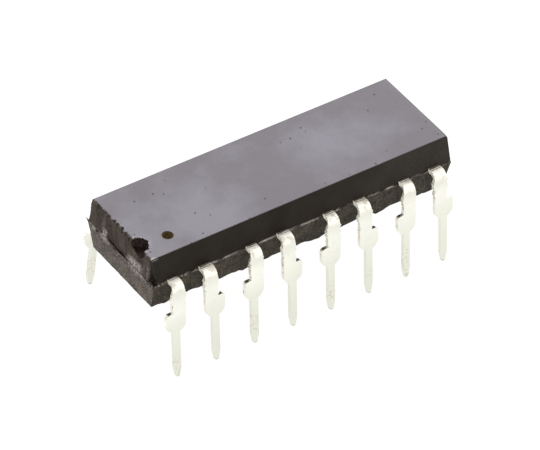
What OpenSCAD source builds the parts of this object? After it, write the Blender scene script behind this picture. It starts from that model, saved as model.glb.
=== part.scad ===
// Sixteen-lead dual in-line package: a black epoxy moulding over four pairs of dies on a tin-plated
// lead frame, standing on its lead tips.
// Millimetres. Z is up, X runs from lead 1 towards lead 8 and Y from the near row towards the far one.
// The origin lies midway between the rows, on the plane of the lead tips.

/* [Moulding] */
// Distance from the axis of an end lead to the end of the moulding
end_margin = 0.98; // [0.8:0.01:1.6]
// Width of the moulding where its two halves meet
body_width = 6.45; // [6.2:0.01:6.8]
// Height of the upper half, from the parting line to the flat top
upper_height = 1.75; // [1.6:0.01:2.2]
// Height of the lower half, from the flat underside to the parting line
lower_height = 1.75; // [1.3:0.01:2]
// Height of the underside above the lead tips
stand_height = 4.15; // [3.6:0.05:5]
// How far the lower half stands proud of the upper half all round
ledge = 0.07; // [0.03:0.01:0.12]
// Lean of the upper half's long sides
upper_side_draft = 8; // [4:0.5:12]
// Lean of the upper half's ends
upper_end_draft = 4.2; // [3:0.1:12]
// Lean of the lower half's long sides
lower_side_draft = 11.4; // [4:0.1:13]
// Lean of the lower half's ends
lower_end_draft = 5.5; // [3:0.1:12]

/* [Marks of the moulding] */
// Diameter of the round index dimple beside lead 1
dimple_d = 0.66; // [0.4:0.02:1.2]
// Depth of the index dimple
dimple_depth = 0.05; // [0.02:0.01:0.15]
// Distance of the dimple from the left edge of the top
dimple_end = 1.7; // [1.3:0.01:3]
// Distance of the dimple from the near edge of the top
dimple_side = 1.23; // [0.8:0.01:1.8]
// Diameter of the broken pit in the top edge of the left end
pit_d = 1.16; // [0.6:0.02:1.6]
// Diameter of that pit at its bottom
pit_bottom_d = 0.6; // [0.3:0.02:1]
// Depth of that pit below the top
pit_depth = 0.7; // [0.3:0.02:1.2]
// Distance of that pit from the near edge of the top
pit_side = 1.29; // [1:0.01:1.9]

/* [Leads outside] */
// Distance from one lead to the next
lead_pitch = 2.54; // [2.5:0.01:2.6]
// Distance from the side of the moulding to the middle plane of the leads, just under the bends
row_offset = 0.585; // [0.5:0.005:0.9]
// Outward lean of the legs
splay = 6; // [1:0.5:10]
// Thickness of the lead strip
lead_thickness = 0.25; // [0.2:0.01:0.3]
// Inside radius of the bend
bend_radius = 0.25; // [0.15:0.01:0.35]
// Width of the upper part of a lead
shoulder_width = 0.8; // [0.6:0.02:0.9]
// Width of the round bulb under the shoulder
bulb_width = 1.22; // [1.1:0.02:1.5]
// Height of the bulb's flat top above the underside of the moulding
bulb_rise = 0.13; // [-0.4:0.01:0.4]
// Height of the bulb's straight sides, above its round bottom
bulb_side = 0.72; // [0.4:0.02:1.2]
// Radius of the bulb's free upper corner
bulb_corner = 0.22; // [0.1:0.01:0.3]
// Width of the pin
pin_width = 0.44; // [0.4:0.01:0.7]
// Length of the pin's taper
taper_length = 0.6; // [0.3:0.02:1]
// Width of the pin's end
tip_width = 0.2; // [0.15:0.01:0.35]

/* [Leads inside] */
// Distance from the middle line of the moulding to the inner end of a die paddle
paddle_gap = 0.3; // [0.2:0.02:0.5]
// Width of paddle left beside a die
die_margin = 0.115; // [0.08:0.005:0.15]
// Length of paddle left between a detector die and the neck
paddle_tail = 0.4; // [0.2:0.02:0.5]
// Distance from the middle line to the inner end of a bond post
post_gap = 0.9; // [0.7:0.02:1.1]
// Diameter of the lock hole in each lead's neck
lock_hole_d = 0.32; // [0.2:0.02:0.4]
// Distance from the side of the moulding to the middle of a lock hole
lock_hole_inset = 0.725; // [0.6:0.005:0.85]

/* [Dies, wires and gel] */
// Side of an emitter die
emitter_side = 0.32; // [0.25:0.01:0.4]
// Height of an emitter die
emitter_height = 0.2; // [0.12:0.01:0.3]
// Distance from the inner end of its paddle to an emitter die
emitter_setback = 0.19; // [0.1:0.01:0.3]
// Side of a detector die
detector_side = 0.8; // [0.6:0.01:0.9]
// Height of a detector die
detector_height = 0.25; // [0.15:0.01:0.3]
// Distance from the inner end of its paddle to a detector die
detector_setback = 0.25; // [0.15:0.01:0.3]
// Diameter of the bond wires
wire_d = 0.05; // [0.03:0.005:0.08]
// Height to which a wire rises above its die before it slopes down
wire_rise = 0.25; // [0.15:0.01:0.3]
// Diameter of the flattened ends of a wire
bond_d = 0.16; // [0.12:0.01:0.2]
// Thickness of the flattened ends of a wire
bond_height = 0.06; // [0.04:0.005:0.08]
// Distance from the inner end of a post to a wire's end on it
bond_setback = 0.25; // [0.15:0.01:0.35]
// Distance from the middle of a post's width to a wire's end on it
bond_inset = 0.175; // [0.1:0.005:0.25]
// Width of gel left round the wires' ends and the dies
gel_margin = 0.14; // [0.1:0.01:0.3]
// Thickness of moulding left above a gel dome
gel_roof = 0.475; // [0.4:0.005:0.6]

/* [Hidden] */
$fn = 64;
channels = 4;
row_leads = 8;
body_length = (row_leads - 1) * lead_pitch + 2 * end_margin;
row_spacing = body_width + 2 * row_offset;
parting_z = stand_height + lower_height;
top_z = parting_z + upper_height;
lead_top = parting_z + lead_thickness / 2;
lead_bottom = parting_z - lead_thickness / 2;
foot_length = body_length - 2 * ledge;
foot_width = body_width - 2 * ledge;
top_length = foot_length - 2 * upper_height * tan(upper_end_draft);
top_width = foot_width - 2 * upper_height * tan(upper_side_draft);
base_length = body_length - 2 * lower_height * tan(lower_end_draft);
base_width = body_width - 2 * lower_height * tan(lower_side_draft);
bend_mid = bend_radius + lead_thickness / 2;
bend_turn = 90 - splay;
// Where the bend starts, so that the legs' middle planes stand row_spacing apart at its end
bend_y = row_spacing / 2 - bend_mid * sin(bend_turn);
bend_z = lead_bottom - bend_radius;
leg_top_z = bend_z + bend_mid * cos(bend_turn);
leg_length = (leg_top_z - lead_thickness / 2 * sin(splay)) / cos(splay);
bulb_top = stand_height + bulb_rise;
bulb_turn = bulb_top - bulb_side;
// Sideways shift of a lead's upper part from the axis of the pin, which lines its outer edge up with the bulb
shoulder_shift = (bulb_width - shoulder_width) / 2;
lock_hole_y = body_width / 2 - lock_hole_inset;
channel_pitch = 2 * lead_pitch;
// Distance from the middle of a channel to the middle of a lead's upper part
slot_x = lead_pitch / 2 - shoulder_shift;
paddle_reach = emitter_side / 2 + die_margin;
paddle_width = slot_x + shoulder_width / 2 + paddle_reach;
paddle_length = detector_setback + detector_side + paddle_tail;
emitter_y = paddle_gap + emitter_setback + emitter_side / 2;
detector_y = paddle_gap + detector_setback + detector_side / 2;
detector_x = detector_side / 2 + die_margin - paddle_reach;
bond_x = slot_x - bond_inset;
bond_y = post_gap + bond_setback;
dome_r = gel_margin + max(norm([bond_x, bond_y]) + bond_d / 2,
    norm([detector_x + detector_side / 2, detector_y + detector_side / 2]));
dome_height = upper_height - lead_thickness / 2 - gel_roof;
dome_ball = (dome_r * dome_r + dome_height * dome_height) / (2 * dome_height);
// Length by which a cutting shape runs on past the face it opens
over = 1;

function channel_x(n) = (n - (channels + 1) / 2) * channel_pitch;
function pin_x(k) = (k - (row_leads + 1) / 2) * lead_pitch;
// Odd leads carry a die and have their shoulder shifted right, even leads take a wire and are shifted left
function carries_die(k) = k % 2 == 1;
function shift_of(k) = carries_die(k) ? shoulder_shift : -shoulder_shift;
function along_leg(height) = (leg_top_z - height) / cos(splay);

// A block whose long sides and ends both lean in, from one rectangle to another
module drafted(length_low, length_high, width_low, width_high, low, high) {
    intersection() {
        rotate([90, 0, 90]) linear_extrude(body_length + 2 * over, center = true)
            polygon([[-width_low / 2, low], [width_low / 2, low], [width_high / 2, high], [-width_high / 2, high]]);
        rotate([90, 0, 0]) linear_extrude(body_width + 2 * over, center = true)
            polygon([[-length_low / 2, low], [length_low / 2, low], [length_high / 2, high], [-length_high / 2, high]]);
    }
}

module end_pit() {
    translate([-top_length / 2, pit_side - top_width / 2, top_z - pit_depth])
        cylinder(h = pit_depth, d1 = pit_bottom_d, d2 = pit_d);
    translate([-top_length / 2, pit_side - top_width / 2, top_z])
        cylinder(h = over, d = pit_d);
}

module index_dimple() {
    translate([dimple_end - top_length / 2, dimple_side - top_width / 2, top_z - dimple_depth])
        cylinder(h = dimple_depth + over, d = dimple_d);
}

module gel_cap(n) {
    translate([channel_x(n), 0, 0]) intersection() {
        translate([0, 0, lead_top + dome_height - dome_ball]) sphere(r = dome_ball);
        translate([0, 0, lead_top]) cylinder(h = dome_height + over, r = dome_r + over);
    }
}

// Flat part of a die-carrying lead in plan, with the shoulder's middle at x = 0 and its channel to the right
module carrier_plan() {
    difference() {
        union() {
            translate([-shoulder_width / 2, -bend_y])
                square([shoulder_width, bend_y - paddle_gap - paddle_length / 2]);
            translate([-shoulder_width / 2, -paddle_gap - paddle_length])
                square([paddle_width, paddle_length]);
        }
        translate([0, -lock_hole_y]) circle(d = lock_hole_d);
    }
}

// Flat part of a wire-carrying lead in plan
module post_plan() {
    difference() {
        translate([-shoulder_width / 2, -bend_y]) square([shoulder_width, bend_y - post_gap]);
        translate([0, -lock_hole_y]) circle(d = lock_hole_d);
    }
}

// Outline of the leg, drawn downward from the end of the bend; x = 0 is the axis of the pin
module leg_outline(shift) {
    bulb_run = along_leg(bulb_turn) - along_leg(bulb_top);
    translate([shift - shoulder_width / 2, -along_leg(bulb_turn)])
        square([shoulder_width, along_leg(bulb_turn)]);
    translate([0, -along_leg(bulb_turn)]) {
        circle(d = bulb_width);
        translate([-bulb_width / 2, 0]) square([bulb_width, bulb_run - bulb_corner]);
        translate([(shift > 0 ? bulb_corner : 0) - bulb_width / 2, 0]) square([bulb_width - bulb_corner, bulb_run]);
        translate([(shift > 0 ? -1 : 1) * (bulb_width / 2 - bulb_corner), bulb_run - bulb_corner])
            circle(r = bulb_corner);
    }
    translate([-pin_width / 2, taper_length - leg_length])
        square([pin_width, leg_length - taper_length - along_leg(bulb_turn)]);
    polygon([[-pin_width / 2, taper_length - leg_length], [-tip_width / 2, -leg_length],
        [tip_width / 2, -leg_length], [pin_width / 2, taper_length - leg_length]]);
}

// Bend and leg of a near-row lead whose pin stands at x = 0
module bend_and_leg(shift) {
    translate([shift - shoulder_width / 2, -bend_y, bend_z]) rotate([180, -90, 0])
        rotate_extrude(angle = bend_turn)
        translate([bend_radius, 0]) square([lead_thickness, shoulder_width]);
    translate([0, -row_spacing / 2, leg_top_z]) rotate([90 - splay, 0, 0])
        translate([0, 0, -lead_thickness / 2]) linear_extrude(lead_thickness) leg_outline(shift);
}

// Flat part of near-row lead k, as a solid
module near_finger(k) {
    translate([pin_x(k) + shift_of(k), 0, lead_bottom]) linear_extrude(lead_thickness) {
        if (carries_die(k)) carrier_plan();
        else post_plan();
    }
}

module near_lead(k) {
    near_finger(k);
    translate([pin_x(k), 0, 0]) bend_and_leg(shift_of(k));
}

module lead(k) {
    color([0.9, 0.9, 0.86])
        if (k <= row_leads) near_lead(k);
        else rotate([0, 0, 180]) near_lead(k - row_leads);
}

module body() {
    color([0.16, 0.15, 0.14]) difference() {
        union() {
            drafted(foot_length, top_length, foot_width, top_width, parting_z, top_z);
            drafted(base_length, body_length, base_width, body_width, stand_height, parting_z);
        }
        for (k = [1:row_leads]) {
            near_finger(k);
            rotate([0, 0, 180]) near_finger(k);
        }
        for (n = [1:channels]) gel_cap(n);
        end_pit();
        index_dimple();
    }
}

module emitter_die(n) {
    color([0.75, 0.35, 0.3]) translate([channel_x(n) - emitter_side / 2, -emitter_y - emitter_side / 2, lead_top])
        cube([emitter_side, emitter_side, emitter_height]);
}

module detector_die(n) {
    color([0.3, 0.32, 0.4])
        translate([channel_x(n) + detector_x - detector_side / 2, detector_y - detector_side / 2, lead_top])
        cube([detector_side, detector_side, detector_height]);
}

// A bond wire: a flattened ball on the die, a rise, a slope and a flattened end on the post
module bond_wire(start, end) {
    rise_top = start + [0, 0, wire_rise];
    run = end + [0, 0, bond_height / 2] - rise_top;
    translate(start) cylinder(h = bond_height, d = bond_d);
    translate(start) cylinder(h = wire_rise, d = wire_d);
    translate(rise_top) sphere(d = wire_d);
    translate(rise_top) rotate([0, acos(run[2] / norm(run)), atan2(run[1], run[0])])
        cylinder(h = norm(run), d = wire_d);
    translate(end) cylinder(h = bond_height, d = bond_d);
}

module emitter_wire(n) {
    color([0.9, 0.72, 0.3]) bond_wire([channel_x(n), -emitter_y, lead_top + emitter_height],
        [channel_x(n) + bond_x, -bond_y, lead_top]);
}

module detector_wire(n) {
    color([0.9, 0.72, 0.3]) bond_wire([channel_x(n), detector_y, lead_top + detector_height],
        [channel_x(n) - bond_x, bond_y, lead_top]);
}

module gel_dome(n) {
    color([0.85, 0.87, 0.9, 0.6]) difference() {
        gel_cap(n);
        emitter_die(n);
        detector_die(n);
        emitter_wire(n);
        detector_wire(n);
    }
}

body();
lead(1);  // lead_01
lead(2);  // lead_02
lead(3);  // lead_03
lead(4);  // lead_04
lead(5);  // lead_05
lead(6);  // lead_06
lead(7);  // lead_07
lead(8);  // lead_08
lead(9);  // lead_09
lead(10);  // lead_10
lead(11);  // lead_11
lead(12);  // lead_12
lead(13);  // lead_13
lead(14);  // lead_14
lead(15);  // lead_15
lead(16);  // lead_16
emitter_die(1);  // emitter_die_1
emitter_die(2);  // emitter_die_2
emitter_die(3);  // emitter_die_3
emitter_die(4);  // emitter_die_4
detector_die(1);  // detector_die_1
detector_die(2);  // detector_die_2
detector_die(3);  // detector_die_3
detector_die(4);  // detector_die_4
emitter_wire(1);  // emitter_wire_1
emitter_wire(2);  // emitter_wire_2
emitter_wire(3);  // emitter_wire_3
emitter_wire(4);  // emitter_wire_4
detector_wire(1);  // detector_wire_1
detector_wire(2);  // detector_wire_2
detector_wire(3);  // detector_wire_3
detector_wire(4);  // detector_wire_4
gel_dome(1);  // gel_dome_1
gel_dome(2);  // gel_dome_2
gel_dome(3);  // gel_dome_3
gel_dome(4);  // gel_dome_4
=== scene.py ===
# %% [markdown]
# A dual in-line chip, built as a lesson
#
# The object is a sixteen-lead chip package standing on its lead tips: a black moulding with a torn
# left end, and two rows of bright tin-plated leads. The CAD model gives every size, so this script
# only adds what the solids cannot hold: softened edges, torn epoxy, grain, plating and light.

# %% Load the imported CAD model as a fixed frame
import math

import bmesh
import bpy
from mathutils import Matrix, Vector, noise


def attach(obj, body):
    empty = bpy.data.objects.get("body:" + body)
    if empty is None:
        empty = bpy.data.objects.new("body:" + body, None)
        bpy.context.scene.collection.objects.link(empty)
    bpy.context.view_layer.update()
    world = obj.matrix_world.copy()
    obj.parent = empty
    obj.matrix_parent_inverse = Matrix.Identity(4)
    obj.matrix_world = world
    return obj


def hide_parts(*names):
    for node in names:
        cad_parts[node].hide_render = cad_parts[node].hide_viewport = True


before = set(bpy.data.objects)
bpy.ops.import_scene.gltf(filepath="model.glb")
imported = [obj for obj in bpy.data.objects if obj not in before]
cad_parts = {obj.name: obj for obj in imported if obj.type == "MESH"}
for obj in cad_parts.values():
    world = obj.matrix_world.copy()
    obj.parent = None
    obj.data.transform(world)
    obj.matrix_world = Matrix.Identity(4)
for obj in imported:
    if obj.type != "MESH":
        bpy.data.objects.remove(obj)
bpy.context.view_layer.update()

MM = 0.001


# %% [markdown]
# Small helpers come first. A piece is always the same three steps: a bmesh becomes a mesh, the mesh
# becomes an object at the origin, and the object rides on the only body that this part has. Putting
# the place into the mesh keeps patterns on Object coordinates where they belong. The helpers for
# numbers are used wherever damage starts, ends or wanders.

# %% Helpers that turn a bmesh into a finished piece
def plain_object(name, bm, materials=()):
    mesh = bpy.data.meshes.new(name)
    bm.to_mesh(mesh)
    bm.free()
    for material in materials:
        mesh.materials.append(material)
    made = bpy.data.objects.new(name, mesh)
    bpy.context.scene.collection.objects.link(made)
    return made


def finish_piece(name, bm, materials, smooth_below):
    """Edges that turn less than smooth_below, in degrees, are shaded smooth."""
    piece = plain_object(name, bm, materials)
    piece.data.shade_smooth()
    piece.data.set_sharp_from_angle(angle=math.radians(smooth_below))
    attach(piece, "root")
    return piece


def rescale(bm, factor):
    bmesh.ops.scale(bm, verts=bm.verts, vec=(factor, factor, factor))


# %% Helpers for numbers
def clamp01(value):
    return max(0.0, min(1.0, value))


def rise(value, start, stop):
    """0 at start and 1 at stop, straight between them and level beyond. Stop may be the smaller one."""
    return clamp01((value - start) / (stop - start))


def bump_at(value, middle, half_width):
    """1 at the middle, falling smoothly to 0 at half_width on either side."""
    return clamp01(1 - ((value - middle) / half_width) ** 2)


def wander(seed, u, v=0.0):
    """Smooth noise between about -0.5 and 0.5 over two coordinates that are already scaled."""
    return noise.noise(Vector((seed, u, v)))


# %% [markdown]
# Colours and surfaces. Real epoxy is never one flat black: it is filled with ground glass, so it shows
# a fine grain, faint clouds and a few specks. The same kind of effect is used on several finishes, so
# it is one node group with named inputs, placed in each material with its own numbers. The group only
# puts out values; the shader itself stays in the material, where the export can read it.

# %% Helpers for material nodes
def join(tree, kind, inputs, **settings):
    """Add a node, set what is given by name, and feed or fill its inputs."""
    node = tree.nodes.new(kind)
    for name, value in settings.items():
        setattr(node, name, value)
    for key, value in inputs.items():
        if isinstance(value, bpy.types.NodeSocket):
            tree.links.new(value, node.inputs[key])
        else:
            node.inputs[key].default_value = value
    return node


def reckon(tree, operation, *values):
    """A Math node. Each value is a socket or a number."""
    return join(tree, "ShaderNodeMath", dict(enumerate(values)), operation=operation).outputs[0]


def ramp(tree, value, start, stop, first=0.0, last=1.0):
    """A Map Range node: first where the value is start, last where it is stop."""
    limits = {"From Min": start, "From Max": stop, "To Min": first, "To Max": last}
    return join(tree, "ShaderNodeMapRange", {"Value": value, **limits}).outputs["Result"]


def clouds(tree, place, scale, detail=2.0, roughness=0.5):
    """A Noise Texture node over a place."""
    kind = {"Scale": scale, "Detail": detail, "Roughness": roughness}
    return join(tree, "ShaderNodeTexNoise", {"Vector": place, **kind}).outputs["Fac"]


def tint(tree, amount, under, over):
    """A Mix node for colours: over covers under by the amount."""
    return join(tree, "ShaderNodeMix", {"Factor": amount, 6: under, 7: over}, data_type="RGBA").outputs[2]


# %% Shared effect: cloudy grain with specks
GROUP_INPUTS = {"Cloud Scale": 300.0, "Grain Scale": 9000.0, "Speck Scale": 2500.0, "Speck Size": 0.1,
                "Grain Share": 0.0, "Stretch": (1, 1, 1)}
# The share of the cells that get no speck
FEW_SPECKS = 0.6
# How much rougher a speck is than the surface around it
SPECK_DULLS = 0.4


def make_grain_group():
    group = bpy.data.node_groups.new("moulded_grain", "ShaderNodeTree")
    for label, default in GROUP_INPUTS.items():
        kind = "NodeSocketVector" if label == "Stretch" else "NodeSocketFloat"
        group.interface.new_socket(name=label, in_out="INPUT", socket_type=kind).default_value = default
    for label in ("Cloud", "Grain", "Specks", "Height"):
        group.interface.new_socket(name=label, in_out="OUTPUT", socket_type="NodeSocketFloat")
    given = group.nodes.new("NodeGroupInput").outputs
    place = join(group, "ShaderNodeTexCoord", {}).outputs["Object"]
    stretched = join(group, "ShaderNodeVectorMath", {0: place, 1: given["Stretch"]}, operation="MULTIPLY")
    spot = stretched.outputs[0]
    cloud = clouds(group, spot, given["Cloud Scale"], 5.0, 0.6)
    grain = clouds(group, spot, given["Grain Scale"], 3.0, 0.7)
    # A speck is the middle of a cell; only some cells, picked by their random colour, get one
    cells = join(group, "ShaderNodeTexVoronoi", {"Vector": spot, "Scale": given["Speck Scale"]}).outputs
    near = reckon(group, "LESS_THAN", cells["Distance"], given["Speck Size"])
    pick = join(group, "ShaderNodeSeparateColor", {0: cells["Color"]}).outputs[0]
    specks = reckon(group, "MULTIPLY", near, reckon(group, "GREATER_THAN", pick, FEW_SPECKS))
    height = reckon(group, "SUBTRACT", grain, specks)
    mixed = join(group, "ShaderNodeMix", {0: given["Grain Share"], 2: cloud, 3: grain}).outputs[0]
    join(group, "NodeGroupOutput", {"Cloud": mixed, "Grain": grain, "Specks": specks, "Height": height})
    return group


grain_group = make_grain_group()
print("grain group sockets:", [item.name for item in grain_group.interface.items_tree])


# %% [markdown]
# Each finish is described by a handful of plain numbers: a dark and a light tone that the clouds mix,
# the tone of the specks, a range of roughness and the depth of the grain. Where epoxy was torn, the
# broken glass filler shows as a pale bloom; the mesh carries that as an attribute called torn, and a
# finish may give a tone for it. The same attribute also carries flash, the dimple's ring, a painted
# sheen along the near long side and, in part, a painted highlight on the rim of the lower half. One
# maker for all finishes keeps them comparable.

# %% One maker for every finish
GRAIN_DEPTH = 0.01 * MM
# Pale bloom follows the grain: the grain's values over which it comes up, and its least amount
BLOOM_FROM, BLOOM_FULL, BLOOM_LEAST = 0.35, 0.6, 0.25


def finish(name, dark, light, speck, rough, metallic=0.0, specular=0.5, see_through=0.0, bump=0.3,
           cloud=300.0, grain=9000.0, speck_scale=2500.0, speck_size=0.1, grain_share=0.0,
           stretch=(1, 1, 1), contrast=(0.35, 0.65), torn=None):
    """A Principled material whose colour, roughness and relief follow the grain group."""
    material = bpy.data.materials.new(name)
    material.use_nodes = True
    tree = material.node_tree
    shader = tree.nodes["Principled BSDF"]
    shader.inputs["Metallic"].default_value = metallic
    shader.inputs["Specular IOR Level"].default_value = specular
    shader.inputs["Transmission Weight"].default_value = see_through
    effect = join(tree, "ShaderNodeGroup", {}, node_tree=grain_group)
    for label, value in zip(GROUP_INPUTS, (cloud, grain, speck_scale, speck_size, grain_share, stretch)):
        effect.inputs[label].default_value = value
    shown = effect.outputs
    tone = join(tree, "ShaderNodeValToRGB", {"Fac": shown["Cloud"]})
    for stop, place, colour in zip(tone.color_ramp.elements, contrast, (dark, light)):
        stop.position, stop.color = place, (*colour, 1)
    colour = tint(tree, shown["Specks"], tone.outputs["Color"], (*speck, 1))
    if torn:
        bloom = join(tree, "ShaderNodeAttribute", {}, attribute_name="torn").outputs["Fac"]
        uneven = ramp(tree, shown["Grain"], BLOOM_FROM, BLOOM_FULL, BLOOM_LEAST, 1.0)
        colour = tint(tree, reckon(tree, "MULTIPLY", bloom, uneven), colour, (*torn, 1))
    tree.links.new(colour, shader.inputs["Base Color"])
    spread = ramp(tree, shown["Grain"], 0.0, 1.0, *rough)
    dulled = reckon(tree, "MULTIPLY_ADD", shown["Specks"], SPECK_DULLS, spread)
    tree.links.new(dulled, shader.inputs["Roughness"])
    relief = {"Height": shown["Height"], "Strength": bump, "Distance": GRAIN_DEPTH}
    tree.links.new(join(tree, "ShaderNodeBump", relief).outputs["Normal"], shader.inputs["Normal"])
    return material


# %% The finishes of the moulding and the tin
PALE_FILLER = (0.42, 0.39, 0.36)
# The top's lilac grey is partly painted sheen: the black epoxy is given some of the grey that the top
# panel's reflection gives it, and the panel's real sheen adds the rest
epoxy_top_painted_sheen = finish("epoxy_polished_top_painted_sheen", (0.058, 0.05, 0.058), (0.114, 0.105, 0.124), (0.012, 0.01, 0.01),
                   (0.22, 0.32), specular=0.42, bump=0.05, cloud=170, grain=4000, speck_scale=1800,
                   contrast=(0.4, 0.6), torn=PALE_FILLER)
epoxy_side = finish("epoxy_satin_side", (0.009, 0.006, 0.003), (0.016, 0.012, 0.008), (0.05, 0.04, 0.03),
                    (0.5, 0.7), specular=0.12, cloud=500, grain=12000, speck_scale=3000,
                    speck_size=0.05, torn=PALE_FILLER)
epoxy_lower = finish("epoxy_coarse_lower", (0.012, 0.009, 0.005), (0.075, 0.064, 0.045), (0.14, 0.13, 0.11),
                     (0.5, 0.8), specular=0.15, bump=0.8, cloud=1600, grain=9000, speck_scale=4500,
                     grain_share=0.7, contrast=(0.43, 0.6), torn=PALE_FILLER)
epoxy_broken = finish("epoxy_broken_end", (0.018, 0.013, 0.009), (0.062, 0.046, 0.036), (0.16, 0.14, 0.12),
                      (0.55, 0.85), specular=0.18, bump=0.8, cloud=1500, grain=9000, speck_scale=4500,
                      grain_share=0.4, stretch=(1, 1, 0.5), contrast=(0.38, 0.62), torn=PALE_FILLER)
epoxy_end_lower = finish("epoxy_coarse_end", (0.026, 0.02, 0.014), (0.155, 0.128, 0.108), (0.25, 0.23, 0.2),
                         (0.55, 0.85), specular=0.2, bump=0.9, cloud=2200, grain=9000, speck_scale=5000,
                         grain_share=0.7, contrast=(0.42, 0.6), torn=PALE_FILLER)
# The pit's finish is painted shade: torn epoxy made nearly black where the deep pit lies in shade. It also
# paints the shade under the bites, in the groove behind the left ledge and in the notch
epoxy_pit_painted_shade = finish("epoxy_deep_pit_painted_shade", (0.009, 0.006, 0.005), (0.036, 0.027, 0.024), (0.05, 0.05, 0.05),
                   (0.7, 0.9), specular=0.03, bump=0.8, cloud=2000, grain=8000, torn=PALE_FILLER)
dimple_floor = finish("dimple_floor", (0.006, 0.003, 0.0005), (0.03, 0.02, 0.005), (0.02, 0.02, 0.004),
                      (0.6, 0.8), specular=0.05, bump=0.5, cloud=5000, grain=15000, contrast=(0.42, 0.6),
                      torn=(0.1, 0.062, 0.018))
lead_tin = finish("bright_tin_plating", (0.82, 0.815, 0.73), (0.885, 0.88, 0.8), (0.5, 0.46, 0.36),
                  (0.24, 0.38), metallic=1.0, bump=0.12, cloud=700, grain=5000, speck_scale=2600,
                  speck_size=0.07)
print("finishes:", [m.name for m in bpy.data.materials if m.use_nodes])

# %% [markdown]
# A lead is not equally bright all over. Its tip was sheared after plating, so bare grey metal shows
# there, and from the bulb down the lead gets greyer towards the tip, with a greyer band just under the
# bend. On the shoulder, against the moulding, it was dipped thick and dull and the bend crinkled it; a
# thin dark line crosses it, and a dark strip runs along the moulding. On the pins a few clusters of
# brown tarnish have started.
# These zones are masks on height, distance and noise, again in a group that only puts out values.

# %% Zones of a lead
# Heights: the tip fades out between two, the shoulder's coat comes up and tarnish fades out likewise
TIP_FULL, TIP_END, SHOULDER_BASE, SHOULDER_FULL = 0.04 * MM, 0.1 * MM, 5.5 * MM, 5.9 * MM
TARNISH_FULL, TARNISH_END = 1.8 * MM, 2.34 * MM
# The lead greys downwards: where it begins, where it is greyest, and the power of its fading
GREYING_FROM, GREYING_FULL, GREYING_CURVE = 4.2 * MM, 1.3 * MM, 0.45
# The greyer band under the bend: where it begins, where it is fullest and how ragged its upper edge is
GREY_BAND_FROM, GREY_BAND_FULL, GREY_BAND_EDGE, GREY_BAND_RAGGED = 5.03 * MM, 5.84 * MM, 0.05 * MM, 0.3 * MM
# The dark line: its distance from the middle of the chip, and half its width
LINE_MIDDLE, LINE_HALF = 3.55 * MM, 0.024 * MM
# A dark strip on the flat against the moulding: how far out it reaches, and how ragged its edge is
DARK_STRIP_TO, DARK_STRIP_RAGGED = 3.47 * MM, 0.45 * MM
RAGGED_SCALE, CRINKLE_SCALE, CLUSTER_SCALE, SPOT_SCALE = 500.0, 2100.0, 420.0, 6500.0
# The stretch of each noise over which creases, clusters of tarnish and its spots come up
CREASED, CLUSTERED, SPOTTED = (0.54, 0.62), (0.48, 0.6), (0.56, 0.62)
# The tone of each zone. A later one covers the earlier ones
ZONES = {"Greying": (0.745, 0.75, 0.655), "Grey_band": (0.735, 0.73, 0.655), "Shoulder": (0.9, 0.87, 0.79),
         "Crinkle": (0.64, 0.6, 0.52), "Line": (0.13, 0.11, 0.085), "Tip": (0.42, 0.41, 0.4),
         "Tarnish": (0.56, 0.5, 0.37)}
# The shoulder's coat: how metallic it still is, and how much rougher than bright tin
COAT_METALLIC, COAT_DULLS = 0.35, 0.2


def make_zone_group():
    group = bpy.data.node_groups.new("lead_zones", "ShaderNodeTree")
    for label in ZONES:
        group.interface.new_socket(name=label, in_out="OUTPUT", socket_type="NodeSocketFloat")
    place = join(group, "ShaderNodeTexCoord", {}).outputs["Object"]
    axes = join(group, "ShaderNodeSeparateXYZ", {0: place}).outputs
    height, outward = axes["Z"], reckon(group, "ABSOLUTE", axes["Y"])
    tip = ramp(group, height, TIP_FULL, TIP_END, 1.0, 0.0)
    shoulder = ramp(group, height, SHOULDER_BASE, SHOULDER_FULL)
    # The lead is greyer from the bulb down, most towards the tip
    thin = reckon(group, "POWER", ramp(group, height, GREYING_FULL, GREYING_FROM, 1.0, 0.0), GREYING_CURVE)
    # One noise makes the grey band's upper edge and the edge of the dark strip ragged
    ragged = clouds(group, place, RAGGED_SCALE, 5.0, 0.7)
    wavy = reckon(group, "MULTIPLY_ADD", ragged, GREY_BAND_RAGGED, height)
    rising = ramp(group, wavy, GREY_BAND_FROM, GREY_BAND_FULL)
    ending = ramp(group, wavy, GREY_BAND_FULL, GREY_BAND_FULL + GREY_BAND_EDGE, 1.0, 0.0)
    # A thin dark line across the flat, and a dark strip on it against the moulding
    ragged_outward = reckon(group, "MULTIPLY_ADD", ragged, DARK_STRIP_RAGGED, outward)
    band = reckon(group, "COMPARE", ragged_outward, LINE_MIDDLE, LINE_HALF)
    dark = reckon(group, "MAXIMUM", band, reckon(group, "LESS_THAN", ragged_outward, DARK_STRIP_TO))
    creased = ramp(group, clouds(group, place, CRINKLE_SCALE), *CREASED)
    clusters = ramp(group, clouds(group, place, CLUSTER_SCALE), *CLUSTERED)
    spots = ramp(group, clouds(group, place, SPOT_SCALE, 3.0), *SPOTTED)
    on_pin = ramp(group, height, TARNISH_FULL, TARNISH_END, 1.0, 0.0)
    spotted = reckon(group, "MULTIPLY", clusters, spots)
    join(group, "NodeGroupOutput", {"Greying": thin, "Shoulder": shoulder, "Tip": tip,
                                    "Grey_band": reckon(group, "MULTIPLY", rising, ending),
                                    "Line": reckon(group, "MULTIPLY", dark, shoulder),
                                    "Crinkle": reckon(group, "MULTIPLY", creased, shoulder),
                                    "Tarnish": reckon(group, "MULTIPLY", spotted, on_pin)})
    return group


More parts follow.
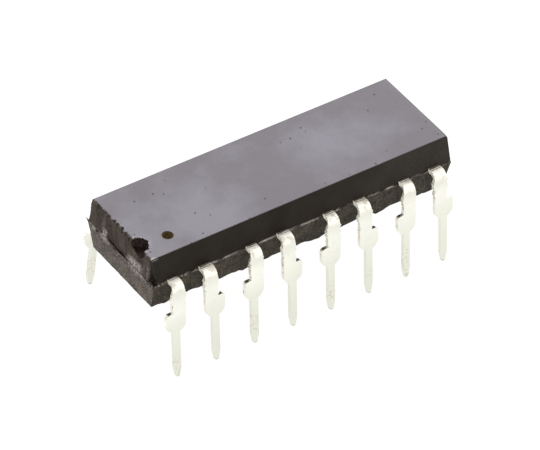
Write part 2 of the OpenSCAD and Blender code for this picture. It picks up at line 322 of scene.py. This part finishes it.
def zone_leads(material):
    tree = material.node_tree
    shader = tree.nodes["Principled BSDF"]
    zones = join(tree, "ShaderNodeGroup", {}, node_tree=make_zone_group()).outputs
    colour = shader.inputs["Base Color"].links[0].from_socket
    rough = shader.inputs["Roughness"].links[0].from_socket
    for label, tone in ZONES.items():
        colour = tint(tree, zones[label], colour, (*tone, 1))
    tree.links.new(colour, shader.inputs["Base Color"])
    metal = ramp(tree, zones["Shoulder"], 0.0, 1.0, 1.0, COAT_METALLIC)
    tree.links.new(metal, shader.inputs["Metallic"])
    dulled = reckon(tree, "MULTIPLY_ADD", zones["Shoulder"], COAT_DULLS, rough)
    tree.links.new(dulled, shader.inputs["Roughness"])


zone_leads(lead_tin)
lead_cut = finish("sheared_lead_edge", (0.66, 0.6, 0.46), (0.9, 0.88, 0.8), (0.16, 0.12, 0.07),
                  (0.45, 0.65), metallic=0.3, bump=0.5, cloud=2600, grain=9000, speck_scale=5000,
                  speck_size=0.26, contrast=(0.36, 0.52))
print("lead finish has", len(lead_tin.node_tree.nodes), "nodes")

# %% [markdown]
# Nothing inside the moulding can be seen, but whoever takes the part apart will find it: light-emitting
# dies and light-sensing dies on the lead ends, gold bond wires, and a dome of clear gel over each pair.
# Their CAD shapes are right as they are, so they only get finishes of their own, in their own slots.

# %% Finishes of the hidden dies, wires and gel
HIDDEN = {
    "emitter_die_": finish("emitter_chip_crystal", (0.2, 0.1, 0.07), (0.32, 0.19, 0.12), (0.6, 0.5, 0.3),
                           (0.2, 0.35), cloud=4000, grain=30000, speck_scale=9000),
    "detector_die_": finish("detector_chip_silicon", (0.07, 0.08, 0.1), (0.13, 0.15, 0.2), (0.5, 0.5, 0.5),
                            (0.12, 0.25), metallic=0.4, cloud=4000, grain=30000, speck_scale=9000),
    "emitter_wire_": finish("bond_wire_gold", (0.9, 0.62, 0.22), (1.0, 0.74, 0.34), (0.7, 0.5, 0.2),
                            (0.15, 0.25), metallic=1.0, cloud=6000, grain=40000),
    "gel_dome_": finish("clear_silicone_gel", (0.9, 0.9, 0.88), (1.0, 1.0, 1.0), (0.8, 0.8, 0.78),
                        (0.03, 0.08), see_through=1.0, cloud=900, grain=8000, bump=0.05),
}
HIDDEN["detector_wire_"] = HIDDEN["emitter_wire_"]
for family, inner in HIDDEN.items():
    for channel in "1234":
        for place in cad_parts[family + channel].material_slots:
            place.material = inner
print("hidden finishes:", {family: inner.name for family, inner in HIDDEN.items()})

# %% [markdown]
# The moulding is one shot of epoxy between two mould halves. Both halves lean in so that the part
# lets go of the mould, and the lower half stands a hair proud. One cube gives the lower half, an inset
# of its upper face gives the ledge, and an extrusion of that face gives the upper half, so the whole
# body is a single closed skin with no seam to hide. It is shaped in millimetres and scaled at the end.

# %% The sizes of the moulding, as in the CAD source
PARTING_Z, TOP_Z, BASE_Z = 5.9, 7.65, 4.15
# Half sizes along the row and across it: the rim of the lower half, and the foot of the upper one
LEDGE = 0.07
RIM = (19.74 / 2, 6.45 / 2)
FOOT = (RIM[0] - LEDGE, RIM[1] - LEDGE)
# Drafts in degrees, of the ends and of the long sides
UPPER_DRAFTS, LOWER_DRAFTS = (4.2, 8.0), (5.5, 11.4)


def lean_in(half_sizes, height, drafts):
    return [half - height * math.tan(math.radians(draft)) for half, draft in zip(half_sizes, drafts)]


TOP = lean_in(FOOT, TOP_Z - PARTING_Z, UPPER_DRAFTS)
BASE = lean_in(RIM, PARTING_Z - BASE_Z, LOWER_DRAFTS)
EDGE_ROUND = 0.035
# The chip off the top's near right corner: along the end, along the long side and down the upright edge
CHIP_BACK, CHIP_LEFT, CHIP_DOWN = 0.46, 0.15, 0.07
print("half sizes in mm: rim", RIM, "top", [round(v, 3) for v in TOP], "base", [round(v, 3) for v in BASE])


# %% The moulding's clean skin
# Points closer than this to a height lie on it
TOUCH = 1e-4


def spread_to(verts, half, z):
    for v in verts:
        v.co = (math.copysign(half[0], v.co.x), math.copysign(half[1], v.co.y), z)


def at_height(z, verts):
    return [v for v in verts if abs(v.co.z - z) < TOUCH]


def sharp_edges(bm, turn):
    return [e for e in bm.edges if e.is_manifold and e.calc_face_angle(0) > math.radians(turn)]


def roll_edges(bm, edges, width):
    bmesh.ops.bevel(bm, geom=edges, offset=width, offset_type="OFFSET", segments=2, profile=0.5,
                    affect="EDGES", material=-1, clamp_overlap=True)


def chip_corner(bm):
    """Slice the near right corner of the top off through three points and close the cut."""
    corner = Vector((TOP[0], -TOP[1], TOP_Z))
    along_end, along_side = corner + Vector((0, CHIP_BACK, 0)), corner - Vector((CHIP_LEFT, 0, 0))
    outward = (along_side - along_end).cross(corner - Vector((0, 0, CHIP_DOWN)) - along_end)
    if outward.z < 0:
        outward.negate()
    sliced = bmesh.ops.bisect_plane(bm, geom=bm.verts[:] + bm.edges[:] + bm.faces[:], dist=1e-5,
                                    plane_co=along_end, plane_no=outward, clear_outer=True)
    bmesh.ops.edgeloop_fill(bm, edges=[g for g in sliced["geom_cut"] if isinstance(g, bmesh.types.BMEdge)])


def where_halves_meet(edge):
    """True on the inner line of the ledge, which stays a crisp step."""
    inner = [v for v in at_height(PARTING_Z, edge.verts) if abs(v.co.x) < RIM[0] - LEDGE / 2]
    return len(inner) == 2


def clean_moulding():
    bm = bmesh.new()
    bmesh.ops.create_cube(bm, size=2.0)
    low, high = at_height(-1, bm.verts), at_height(1, bm.verts)
    spread_to(low, BASE, BASE_Z)
    spread_to(high, RIM, PARTING_Z)
    lid = [f for f in bm.faces if len(at_height(PARTING_Z, f.verts)) == len(f.verts)]
    bmesh.ops.inset_region(bm, faces=lid, thickness=LEDGE, use_even_offset=True)
    grown = bmesh.ops.extrude_face_region(bm, geom=lid)
    bmesh.ops.delete(bm, geom=lid, context="FACES_ONLY")
    spread_to([g for g in grown["geom"] if isinstance(g, bmesh.types.BMVert)], TOP, TOP_Z)
    roll_edges(bm, [e for e in sharp_edges(bm, 30) if not where_halves_meet(e)], EDGE_ROUND)
    chip_corner(bm)
    bmesh.ops.recalc_face_normals(bm, faces=bm.faces[:])
    return bm


moulding = clean_moulding()
print("clean skin:", len(moulding.faces), "faces, volume", round(moulding.calc_volume(), 2), "mm3")

# %% [markdown]
# Two hollows go into the top. The index dimple marks the corner of lead 1 and is a true shallow disc.
# The pit is damage: a lump that broke out at the torn edge. Both are cut with a Boolean while the
# skin is still clean and closed; the pit's cutter is a ball with a rough surface.

# %% Cut the index dimple and the pit
# The dimple's middle, measured from the top's left and near edges
DIMPLE = Vector((-(TOP[0] - 1.7), -(TOP[1] - 1.23), TOP_Z))
DIMPLE_RADIUS, DIMPLE_DEPTH = 0.33, 0.05
# The pit's middle, on the torn top edge, and its half sizes
PIT = Vector((-9.6, -1.54, 7.5))
PIT_HALF = Vector((0.5, 0.64, 0.56))
PIT_ROUGHNESS = 0.2


def cut(bm, cutter_bm):
    body, cutter = plain_object("body_skin", bm), plain_object("cutter", cutter_bm)
    knife = body.modifiers.new("cut", "BOOLEAN")
    knife.operation, knife.solver, knife.object = "DIFFERENCE", "EXACT", cutter
    bpy.context.view_layer.update()
    result = bmesh.new()
    result.from_object(body, bpy.context.evaluated_depsgraph_get())
    for used in (body, cutter):
        bpy.data.objects.remove(used)
    return result


def dimple_cutter():
    bm = bmesh.new()
    bmesh.ops.create_cone(bm, cap_ends=True, segments=48, radius1=DIMPLE_RADIUS, radius2=DIMPLE_RADIUS,
                          depth=2 * DIMPLE_DEPTH, matrix=Matrix.Translation(DIMPLE))
    return bm


def pit_cutter():
    bm = bmesh.new()
    bmesh.ops.create_icosphere(bm, subdivisions=4, radius=1.0)
    for v in bm.verts:
        lumps, crumbs = noise.noise(v.co * 2.1), noise.noise(v.co * 5.1 + Vector((0, 7, 0)))
        swell = 1 + PIT_ROUGHNESS * (lumps + 0.5 * crumbs + 0.6 * noise.noise(v.co * 9))
        v.co = PIT + Vector((v.co.x * PIT_HALF.x, v.co.y * PIT_HALF.y, v.co.z * PIT_HALF.z)) * swell
    return bm


moulding = cut(cut(moulding, dimple_cutter()), pit_cutter())
print("cut skin:", len(moulding.faces), "faces, volume", round(moulding.calc_volume(), 2), "mm3")

# %% [markdown]
# A torn end needs points to move. Slicing the skin with parallel planes, close together at the left
# end and wider along the rest, gives those points without disturbing the flat faces in between.

# %% Slice the skin into a fine net near the damage
def steps(start, stop, size):
    """Places between start and stop, without the two, evenly spaced by about the size."""
    count = int(round((stop - start) / size))
    return [start + (stop - start) * i / count for i in range(1, count)]


def slice_skin(bm, axis, places):
    normal = [0, 0, 0]
    normal[axis] = 1
    for place in places:
        point = [0, 0, 0]
        point[axis] = place
        bmesh.ops.bisect_plane(bm, geom=bm.verts[:] + bm.edges[:] + bm.faces[:], dist=1e-5,
                               plane_co=point, plane_no=normal)


# Planes through the left end's narrow ledge, and where the net along the row gets wider
IN_LEDGE, DAMAGED_TO = [-9.85, -9.83, -9.81], -7.6
# The near corner is split into upright ridges up to here, so the planes across it are the closest
RIDGED_TO = -1.9
slice_skin(moulding, 0, IN_LEDGE + steps(-9.8, DAMAGED_TO, 0.08) + steps(DAMAGED_TO, 9.9, 0.24))
slice_skin(moulding, 1, steps(-3.25, RIDGED_TO, 0.045) + [RIDGED_TO] + steps(RIDGED_TO, 3.25, 0.07))
slice_skin(moulding, 2, steps(BASE_Z, PARTING_Z, 0.12) + steps(PARTING_Z, TOP_Z, 0.08))
print("net:", len(moulding.faces), "faces")

# %% [markdown]
# Now the wear, which is what makes this chip this chip. When the package was broken off its runner the
# upper face of the left end tore: it stands a little proud of the clean slope, its foot went in at the
# middle and at the near corner, its top edge crumbled into small bites, and near the corner it split
# into upright ridges. Each is a distance by which the face is pushed in, and they are simply added up.
# The push fades out along the top, which is squeezed and not folded. Where filler broke, the torn
# attribute makes the surface pale.

# %% How far the torn face is pushed in, in millimetres
# How far in along the top, and along the other faces, the push fades out
TOP_FADE, FACE_FADE = 1.2, 0.5
# No point may leave the rim's box
OUTERMOST = RIM[0] - 0.004
# How far the torn face stands proud at its foot and its top edge, and how far in its foot goes elsewhere
FOOT_PROUD, TOP_PROUD, MIDDLE_IN, CORNER_IN = 0.05, 0.12, 0.14, 0.3
# Places across the chip, each as where something starts and where it is full: the foot's hollow in the
# middle, from both sides, and its hollow at the corner
MIDDLE_SPAN, CORNER_FROM = ((1.45, 1.31), (-0.4, -0.1)), (-2.6, -2.7)
# The bitten stretch of the top edge, from both sides, and the upright ridges
BITTEN_SPAN, RIDGES_FROM = ((2.72, 2.47), (-1.1, -0.8)), (-1.95, -2.1)
# The depths of bites, upright ridges, faint streaks and crumbs, and how much more it crumbles at the top
COARSE_BITE, FINE_BITE, RIDGE, STREAK, CRUMB, TOP_CRUMB = 0.2, 0.1, 0.06, 0.03, 0.03, 0.09


def lean_at(z):
    """0 at the parting line and 1 at the top."""
    return (z - PARTING_Z) / (TOP_Z - PARTING_Z)


def within(y, span):
    """1 well inside a span across the chip and 0 outside of it."""
    from_far, from_near = span
    return rise(y, *from_far) * rise(y, *from_near)


def set_back(y):
    """How far the foot of the torn face lies behind the clean one; below 0 it stands proud."""
    middle, corner = MIDDLE_IN * within(y, MIDDLE_SPAN), CORNER_IN * rise(y, *CORNER_FROM)
    return 0.03 * rise(y, 0.5, -0.5) - FOOT_PROUD + middle + corner


def bite_at(y):
    """How far the top edge has crumbled away."""
    coarse = COARSE_BITE * max(0.0, wander(11.3, y / 0.21) + 0.1)
    fine = FINE_BITE * max(0.0, wander(5.9, y / 0.08))
    return within(y, BITTEN_SPAN) * (0.01 + coarse + fine)


def end_push(y, z):
    lean = lean_at(z)
    ridge_zone = rise(y, *RIDGES_FROM)
    ridges = RIDGE * ridge_zone * wander(3.1, y / 0.085, z / 2.5)
    streaks = STREAK * (1 - ridge_zone) * wander(7.7, y / 0.11, z / 0.8)
    crumbs = (CRUMB + TOP_CRUMB * math.exp(-(TOP_Z - z) / 0.3)) * wander(2.3, y / 0.12, z / 0.12)
    bite = bite_at(y) * math.exp(-(TOP_Z - z) / 0.14)
    return set_back(y) * (1 - lean) - TOP_PROUD * lean + ridges + streaks + crumbs + bite


# %% Where broken filler makes the epoxy pale
# Pale patches on the torn face: middle across and up, half width across and up, and strength
TORN_PATCHES = ((1.62, 6.2, 0.26, 0.36, 0.85), (1.72, 6.9, 0.1, 0.5, 0.2), (-1.35, 6.2, 0.8, 0.36, 0.95),
                (-2.86, 7.63, 0.05, 0.05, 0.8), (-2.2, 6.6, 0.1, 0.8, 0.15), (-2.55, 6.4, 0.08, 0.8, 0.25))
# Flash on the left ledge: middle, half width and strength
FLASH_RUNS = ((2.73, 0.35, 1.0), (1.57, 0.5, 1.0), (-1.6, 1.0, 1.0))
# Pale flecks on the rim of the pit and under the crumbled top edge, and a painted sheen along the near long
# side that grows towards the right end
RIM_FLECKS, EDGE_FLECKS, NEAR_SIDE_PAINTED_SHEEN = 0.7, 0.3, 0.04


def torn_at_end(y, z):
    """How pale the torn face is, 0 to 1."""
    ragged_y = y + 0.16 * wander(1.1, y / 0.2, z / 0.2)
    ragged_z = z + 0.14 * wander(6.6, y / 0.15, z / 0.15)
    blotches = clamp01(0.75 + 1.6 * wander(9.9, y / 0.07, z / 0.07))
    strongest = 0.0
    for across, up, half_across, half_up, strength in TORN_PATCHES:
        patch = bump_at(ragged_y, across, half_across) * bump_at(ragged_z, up, half_up)
        strongest = max(strongest, strength * min(1.0, 1.6 * patch))
    return blotches * strongest


def flecks_at(y, z):
    """Pale flecks under the crumbled top edge."""
    if z >= TOP_Z - 0.03:
        return 0.0
    return EDGE_FLECKS * rise(TOP_Z - z, 0.2, 0.05) * clamp01(4 * wander(6.1, y / 0.06, z / 0.06))


def flash_at(y):
    """How much thin epoxy flash stands on the left ledge, 0 to 1."""
    run = max(strength * bump_at(y, middle, half) for middle, half, strength in FLASH_RUNS)
    return clamp01(run * (0.7 + 1.8 * wander(8.1, y / 0.12)))


print("push at the foot and the top in mm:", [round(end_push(0.5, z), 3) for z in (5.95, 7.6)])


# %% [markdown]
# The rim of the lower half was left as the mould's clamping made it: uneven by a few hundredths, with
# thin flash beside the leads. Its lower edge ripples, and on the near side it hangs up to 0.15 mm lower
# in places. The tear also left a groove behind the left ledge, a spur at its far end and a notch at its
# near one.

# %% The sizes of the smaller damage, in millimetres
RIM_GIVE = 0.04
LOWER_WAVE, HIGHEST_RIPPLE = 0.09, 0.1
# Where the near lower edge hangs lower, or stands higher, than its ripple: middle, half width and drop
SAGS = ((-6.9, 0.4, -0.08), (-3.6, 0.35, 0.12), (0.05, 0.25, -0.08), (1.0, 0.7, 0.1), (5.4, 0.45, 0.15),
        (8.5, 1.0, 0.15))
# The groove at the foot of the torn face: how far behind that foot it lies, its least depth, and how much
# deeper it gets in the middle, and where
GROOVE_BEHIND, GROOVE, GROOVE_MORE = 0.06, 0.11, 0.13
GROOVE_SPAN = ((1.5, 1.3), (-0.7, -0.3))
# The height of the flash on the left ledge, the spur at its far end and the notch at its near end
FLASH_HEIGHT = 0.09
SPUR = Vector((0, 0.26, 0.09))
NOTCH_REACH, NOTCH_DEPTH = 0.4, 0.2
# Edges shorter than this are slivers that the Boolean and the slicing left
SLIVER = 1e-4


def groove_at(y):
    return GROOVE + GROOVE_MORE * within(y, GROOVE_SPAN)


def half_sizes_away(offset, half_sizes):
    """Below 1 inside the ball, or ring, that has these half sizes."""
    return math.hypot(*(along / half for along, half in zip(offset, half_sizes)))


def in_dimple(place):
    away = math.hypot(place.x - DIMPLE.x, place.y - DIMPLE.y)
    return away < DIMPLE_RADIUS + 0.01 and place.z < TOP_Z - 0.001


def sag_at(x):
    return sum(drop * min(1.0, 1.5 * bump_at(x, middle, half)) for middle, half, drop in SAGS)


# %% Move every point of the skin
def wear_upper(v, torn):
    """Tear the left end, bring out the foot of the right one, and mark what is pale, with a painted sheen
    on the near long side.
    """
    x, y, z = v.co
    from_face = x + FOOT[0] - lean_at(z) * (FOOT[0] - TOP[0])
    if from_face < TOP_FADE:
        fade = TOP_FADE if z > TOP_Z - 0.005 else FACE_FADE
        v.co.x = max(-OUTERMOST, x + end_push(y, z) * rise(from_face, fade, 0))
    if from_face < 0.3:
        v[torn] = max(torn_at_end(y, z), flecks_at(y, z))
    # The foot of the right end stands out to the rim
    if x > TOP[0]:
        v.co.x += (OUTERMOST - FOOT[0]) * (1 - lean_at(z))
    if z > TOP_Z - 0.06:
        ring = half_sizes_away((x - PIT.x, y - PIT.y), PIT_HALF)
        flecks = RIM_FLECKS * bump_at(ring, 1.04, 0.18) * clamp01(3 * wander(4.2, x / 0.07, y / 0.07))
        v[torn] = max(v[torn], flecks)
    if in_dimple(v.co):
        v[torn] = rise(math.hypot(x - DIMPLE.x, y - DIMPLE.y), 0.2, 0.32)
    # The near long side gets a painted sheen, paler towards the right end
    elif y < -TOP[1]:
        v[torn] = max(v[torn], NEAR_SIDE_PAINTED_SHEEN * rise(x, 0, 8))


def wear_ledge(v, torn):
    """Give the left ledge its flash, groove, spur and notch, and the long sides a ragged rim."""
    x, y = v.co.xy
    fine = wander(1.7, x / 0.11, y / 0.11)
    coarse = wander(4.4, x / 0.32, y / 0.32)
    if x < -FOOT[0] + 0.01 and abs(y) < RIM[1] - 0.02:
        inward = rise(x + RIM[0], 0.02, LEDGE)
        flash = flash_at(y)
        give = max(0.0, RIM_GIVE * (0.6 + coarse + fine) * (1 - flash))
        v.co.x = max(-OUTERMOST, x + give * (1 - inward) + (set_back(y) + GROOVE_BEHIND) * inward)
        v.co.z += FLASH_HEIGHT * flash * (1 - inward) - groove_at(y) * inward * (1 - 0.5 * flash)
        if y > RIM[1] - 0.12:
            v.co += SPUR
        v[torn] = flash
    elif abs(y) > FOOT[1] - 0.01:
        outer = abs(y) > RIM[1] - 0.05
        if outer:
            v.co.y -= math.copysign(max(0.0, RIM_GIVE * (0.5 + coarse + fine)), y)
        v.co.z += 0.02 * coarse + 0.04 * fine
        # The long sides' rim is made pale: partly thin flash, partly a painted highlight where the narrow
        # ledge catches the sky
        v[torn] = clamp01(0.4 + 2.2 * fine + coarse) * (0.8 if outer else 0.3)
    if x > FOOT[0] - 0.01:
        v.co.x = max(v.co.x, OUTERMOST)
    inside = rise(min(x + RIM[0], y + RIM[1]), 0.02, 0.06)
    notch = inside * clamp01(1.4 - math.hypot(x + RIM[0], y + RIM[1]) / NOTCH_REACH)
    v.co.z -= NOTCH_DEPTH * notch
    v[torn] *= 1 - notch


def wear_lower_edge(v):
    """Ripple the lower edge, less at the left end, and let it sag on the near side."""
    x, y = v.co.xy
    rough_side = 0.25 + 0.75 * rise(x + BASE[0], 0, 0.5)
    ripple = 1.3 * wander(8.8, x / 0.7, y / 0.7) + 0.7 * wander(2.8, x / 0.2, y / 0.2)
    v.co.z += min(HIGHEST_RIPPLE, LOWER_WAVE * rough_side * ripple - rise(-y, 1.5, 2.5) * sag_at(x))


def wear(bm):
    torn = bm.verts.layers.float.new("torn")
    for v in bm.verts:
        x, y, z = v.co
        if z > PARTING_Z + 0.01:
            wear_upper(v, torn)
        elif z > PARTING_Z - 0.05:
            wear_ledge(v, torn)
        elif z < BASE_Z + 0.1:
            wear_lower_edge(v)
        elif x < -RIM[0] + 0.1:
            # The pale flash of the left ledge runs a little way down the end
            ragged = clamp01(0.7 + 2.2 * wander(3.9, y / 0.09, z / 0.09))
            v[torn] = flash_at(y) * rise(z, 5.5, 5.75) * ragged
    bmesh.ops.dissolve_degenerate(bm, dist=SLIVER, edges=bm.edges[:])
    bmesh.ops.recalc_face_normals(bm, faces=bm.faces[:])


wear(moulding)
print("worn skin: volume", round(moulding.calc_volume(), 2), "mm3")

# %% [markdown]
# The mould was polished on top and left coarse elsewhere, so the faces get several finishes, and the top's
# grey is partly a painted sheen. They are told apart by where they look and how high they are, which is
# how a moulder would name them too.

# %% Give each face its finish and scale the skin to metres
FINISHES = {"top": epoxy_top_painted_sheen, "side": epoxy_side, "lower": epoxy_lower, "broken": epoxy_broken,
            "end": epoxy_end_lower, "pit": epoxy_pit_painted_shade, "dimple": dimple_floor}
# The half sizes of the ball that the pit's finish, a painted shade, fills. It stops short of the torn face,
# whose faces lie outside of this place along the row
PIT_DARK, PIT_STOPS = (0.66, 0.76, 0.66), -9.45
# A bite deeper than this gets a painted shadow under it, in the pit's finish, which reaches down this many
# times as far
SMALL_BITE, DARK_BITE = 0.03, 3.2
# How wide a clean dark strip the tear left along the near upright edge, at its top and at its foot
STRIP_TOP, STRIP_FOOT = 0.22, 0.46
# The skin's facets turn less than this, in degrees, where it is worn, and more at its real edges
SMOOTH_SKIN = 40


def finish_of_upper(centre, look):
    if in_dimple(centre):
        return "dimple"
    on_face = look.x <= -0.75 and centre.x <= PIT_STOPS
    if half_sizes_away(centre - PIT, PIT_DARK) < 1 and centre.z < TOP_Z - 0.02 and not on_face:
        return "pit"
    if look.z > 0.75:
        return "top"
    lean = lean_at(centre.z)
    near_edge = FOOT[1] + lean * (TOP[1] - FOOT[1])
    strip = STRIP_FOOT + lean * (STRIP_TOP - STRIP_FOOT)
    torn_face = centre.x < -8.9 and abs(look.y) < 0.9 and centre.y > strip - near_edge
    if not torn_face:
        return "side"
    # Under a deep bite the pit's finish paints the bite's shadow
    return "pit" if TOP_Z - centre.z < DARK_BITE * (bite_at(centre.y) - SMALL_BITE) else "broken"


def finish_of_lower(centre, look):
    if centre.x < -RIM[0] + 0.35 and abs(look.y) < 0.8:
        # Faces in the groove behind the left ledge get the pit's finish, a painted shade
        return "pit" if look.z > 0.3 and centre.z < PARTING_Z - 0.07 else "end"
    # In the notch the pit's finish is a painted shade
    at_notch = math.hypot(centre.x + RIM[0], centre.y + RIM[1]) < NOTCH_REACH
    return "pit" if at_notch and look.z > 0.2 and centre.z > PARTING_Z - 0.4 else "lower"


def finish_of(face):
    centre = face.calc_center_median()
    chooser = finish_of_upper if centre.z > PARTING_Z + 0.01 else finish_of_lower
    return chooser(centre, face.normal)


names = list(FINISHES)
for face in moulding.faces:
    face.material_index = names.index(finish_of(face))
rescale(moulding, MM)
body_piece = finish_piece("moulding", moulding, FINISHES.values(), SMOOTH_SKIN)
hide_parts("body")
print("moulding:", len(body_piece.data.polygons), "faces")

# %% [markdown]
# The leads are stamped from strip, so every outline edge has a tiny roll from the punch. The CAD node
# already has the right shape. A copy of its mesh is merged, its flat triangles are dissolved back into
# faces, and its sharp edges get a narrow bevel that catches the light as the punched edge does. High
# up, where the tie bar was cut off last, the faces that look along the row are uneven, rough and a bit
# brown: there the lead is sliced into thin steps, and each step's sides wander in and out. Against the
# moulding one side of the flat stands back.

# %% The sizes of the leads' finer forms, in millimetres
PUNCH_ROLL = 0.02
# Smooths the bend, whose steps turn less than this, and keeps the flats flat up to their rolled edges
SMOOTH_BEND = 20
# Above this height the faces that look along the row are sheared
SHEARED_ABOVE = 3.7
# The sides wander between these heights, in steps of this height and by about this much
UNEVEN_FROM, UNEVEN_TO, UNEVEN_STEP, UNEVEN_WAVE = 4.3, 5.65, 0.06, 0.08
# At the bend the thick tin makes the lead a little wider
BULGE_FROM, BULGE = 4.93, 0.04
# One side of the flat stands back, more on the leads with an odd number
STANDS_BACK = {"even": 0.06, "odd": 0.17}
# Distances from the middle of the chip: where that starts, where it is full, and where it ends and the
# lead has its width again, both inside the moulding. Then the heights where it starts and is full
NARROW_OUT, NARROW_IN, NARROW_END, WIDE_AGAIN = 3.95, 3.55, 3.1, 3.0
FLAT_FROM, FLAT_FULL = 5.3, 5.6


# %% Sixteen leads with punched edges
def add_rings(bm):
    """Give the lead points where its sides are moved."""
    slice_skin(bm, 1, [row * y for row in (-1, 1) for y in (WIDE_AGAIN, NARROW_END, NARROW_IN)])
    slice_skin(bm, 2, steps(UNEVEN_FROM, UNEVEN_TO, UNEVEN_STEP))


def wander_sides(bm, seed):
    """Make the sheared sides uneven."""
    bm.normal_update()
    for v in [v for v in bm.verts if abs(v.normal.x) > 0.3]:
        z, side = v.co.z, math.copysign(1, v.normal.x)
        fade = rise(z, UNEVEN_FROM, UNEVEN_FROM + 0.1) * rise(z, UNEVEN_TO, UNEVEN_TO - 0.1)
        wave = UNEVEN_WAVE * (wander(seed + side, z / 0.27) + wander(seed + side, z / 0.11))
        v.co.x += fade * (wave + side * BULGE * rise(z, BULGE_FROM, BULGE_FROM + 0.05))


def set_flat_back(bm, distance):
    """Move the flat's left side, or in the far row its right side, towards the flat's middle."""
    flat = [v for v in bm.verts if abs(v.co.y) > NARROW_END - 0.01 and v.co.z > FLAT_FROM]
    middle = (min(v.co.x for v in flat) + max(v.co.x for v in flat)) / 2
    for v in flat:
        if (v.co.x - middle) * v.co.y > 0:
            share = rise(abs(v.co.y), NARROW_OUT, NARROW_IN) * rise(v.co.z, FLAT_FROM, FLAT_FULL)
            v.co.x -= math.copysign(distance * share, v.co.y)


def lead_piece(number):
    node = "lead_%02d" % number
    bm = bmesh.new()
    bm.from_mesh(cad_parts[node].data)
    rescale(bm, 1 / MM)
    bmesh.ops.remove_doubles(bm, verts=bm.verts, dist=0.0005)
    bmesh.ops.dissolve_limit(bm, angle_limit=math.radians(1), verts=bm.verts, edges=bm.edges)
    roll_edges(bm, sharp_edges(bm, 40), PUNCH_ROLL)
    bmesh.ops.triangulate(bm, faces=[f for f in bm.faces if len(f.verts) > 4])
    add_rings(bm)
    wander_sides(bm, number * 1.7)
    set_flat_back(bm, STANDS_BACK["odd" if number % 2 else "even"])
    bmesh.ops.recalc_face_normals(bm, faces=bm.faces[:])
    for face in bm.faces:
        sheared = abs(face.normal.x) > 0.6 and face.calc_center_median().z > SHEARED_ABOVE
        face.material_index = int(sheared)
    rescale(bm, MM)
    piece = finish_piece(node + "_plated", bm, [lead_tin, lead_cut], SMOOTH_BEND)
    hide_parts(node)
    return piece


leads = [lead_piece(number) for number in range(1, 17)]
print("leads:", len(leads), "with", len(leads[0].data.polygons), "faces each")

# %% [markdown]
# The camera stands where the photograph was taken from: far away with a long lens, above the near
# side and a little to the left. Its angles, its aim and its distance come from fitting the lead tips
# and the corners of the moulding, so the render can be laid over the photo.

# %% Camera
# Angles in degrees: round the chip from the x axis, up from the table, and the camera's own tilt
ROUND, UP, TILT = (math.radians(angle) for angle in (-126.5257, 41.3451, 3.1525))
# The point it looks at and how far away it stands. The focal length and the sensor are in millimetres
AIM, DISTANCE = Vector((1.038, 1.338, 1.924)) * MM, 265.746 * MM
FOCAL_LENGTH, SENSOR_WIDTH = 318.964, 36.0
back = Vector((math.cos(ROUND) * math.cos(UP), math.sin(ROUND) * math.cos(UP), math.sin(UP)))
level = Vector((-math.sin(ROUND), math.cos(ROUND), 0))
right = level * math.cos(TILT) + back.cross(level) * math.sin(TILT)
camera_data = bpy.data.cameras.new("camera")
camera_data.lens, camera_data.sensor_width = FOCAL_LENGTH, SENSOR_WIDTH
camera_data.sensor_fit = "HORIZONTAL"
camera_data.clip_start, camera_data.clip_end = 0.01, 10.0
camera = bpy.data.objects.new("camera", camera_data)
bpy.context.scene.collection.objects.link(camera)
camera.matrix_world = Matrix((right, back.cross(right), back)).transposed().to_4x4()
camera.location = AIM + back * DISTANCE
bpy.context.scene.camera = camera

# %% [markdown]
# The light is a bright white room: a pale table, an even world and two soft panels. The stronger one
# stands behind the chip, exactly where the top face mirrors it towards the camera, which turns the
# black top grey, as in the photograph, while the sides stay dark. The other one lights the near side.

# %% Floor, world and lights
paper = bpy.data.materials.new("white_table")
paper.use_nodes = True
for label, value in (("Base Color", (0.14, 0.14, 0.14, 1)), ("Roughness", 0.9), ("Specular IOR Level", 0.1),
                     ("Emission Color", (1, 1, 1, 1)), ("Emission Strength", 0.92)):
    paper.node_tree.nodes["Principled BSDF"].inputs[label].default_value = value
floor_bm = bmesh.new()
bmesh.ops.create_grid(floor_bm, x_segments=1, y_segments=1, size=1.0)
plain_object("table_top", floor_bm, [paper])

world = bpy.data.worlds.new("white_room")
world.use_nodes = True
world.node_tree.nodes["Background"].inputs["Color"].default_value = (1.0, 0.995, 0.985, 1)
world.node_tree.nodes["Background"].inputs["Strength"].default_value = 1.1
bpy.context.scene.world = world


def panel(name, towards, distance, size, strength, colour):
    """A soft panel that shines on the chip from a direction; strength is per area."""
    light = bpy.data.lights.new(name, "AREA")
    light.shape, light.size, light.size_y, light.color = "RECTANGLE", size[0], size[1], colour
    light.energy = strength * math.pi * size[0] * size[1]
    lamp = bpy.data.objects.new(name, light)
    bpy.context.scene.collection.objects.link(lamp)
    target = Vector((0, 0, 6 * MM))
    lamp.location = target + Vector(towards).normalized() * distance
    lamp.rotation_euler = (lamp.location - target).to_track_quat("Z", "Y").to_euler()


mirrored = Vector((-back.x, -back.y, back.z))
panel("top_sheen_panel", mirrored, distance=0.4, size=(0.3, 0.24), strength=3.0, colour=(0.94, 0.91, 1.0))
panel("front_panel", (-0.15, -0.5, 0.85), distance=0.4, size=(0.3, 0.3), strength=1.2,
      colour=(1.0, 0.98, 0.95))
bpy.context.scene.view_settings.view_transform = "Standard"
print("camera at", [round(v / MM, 1) for v in camera.location], "mm, with two soft panels")
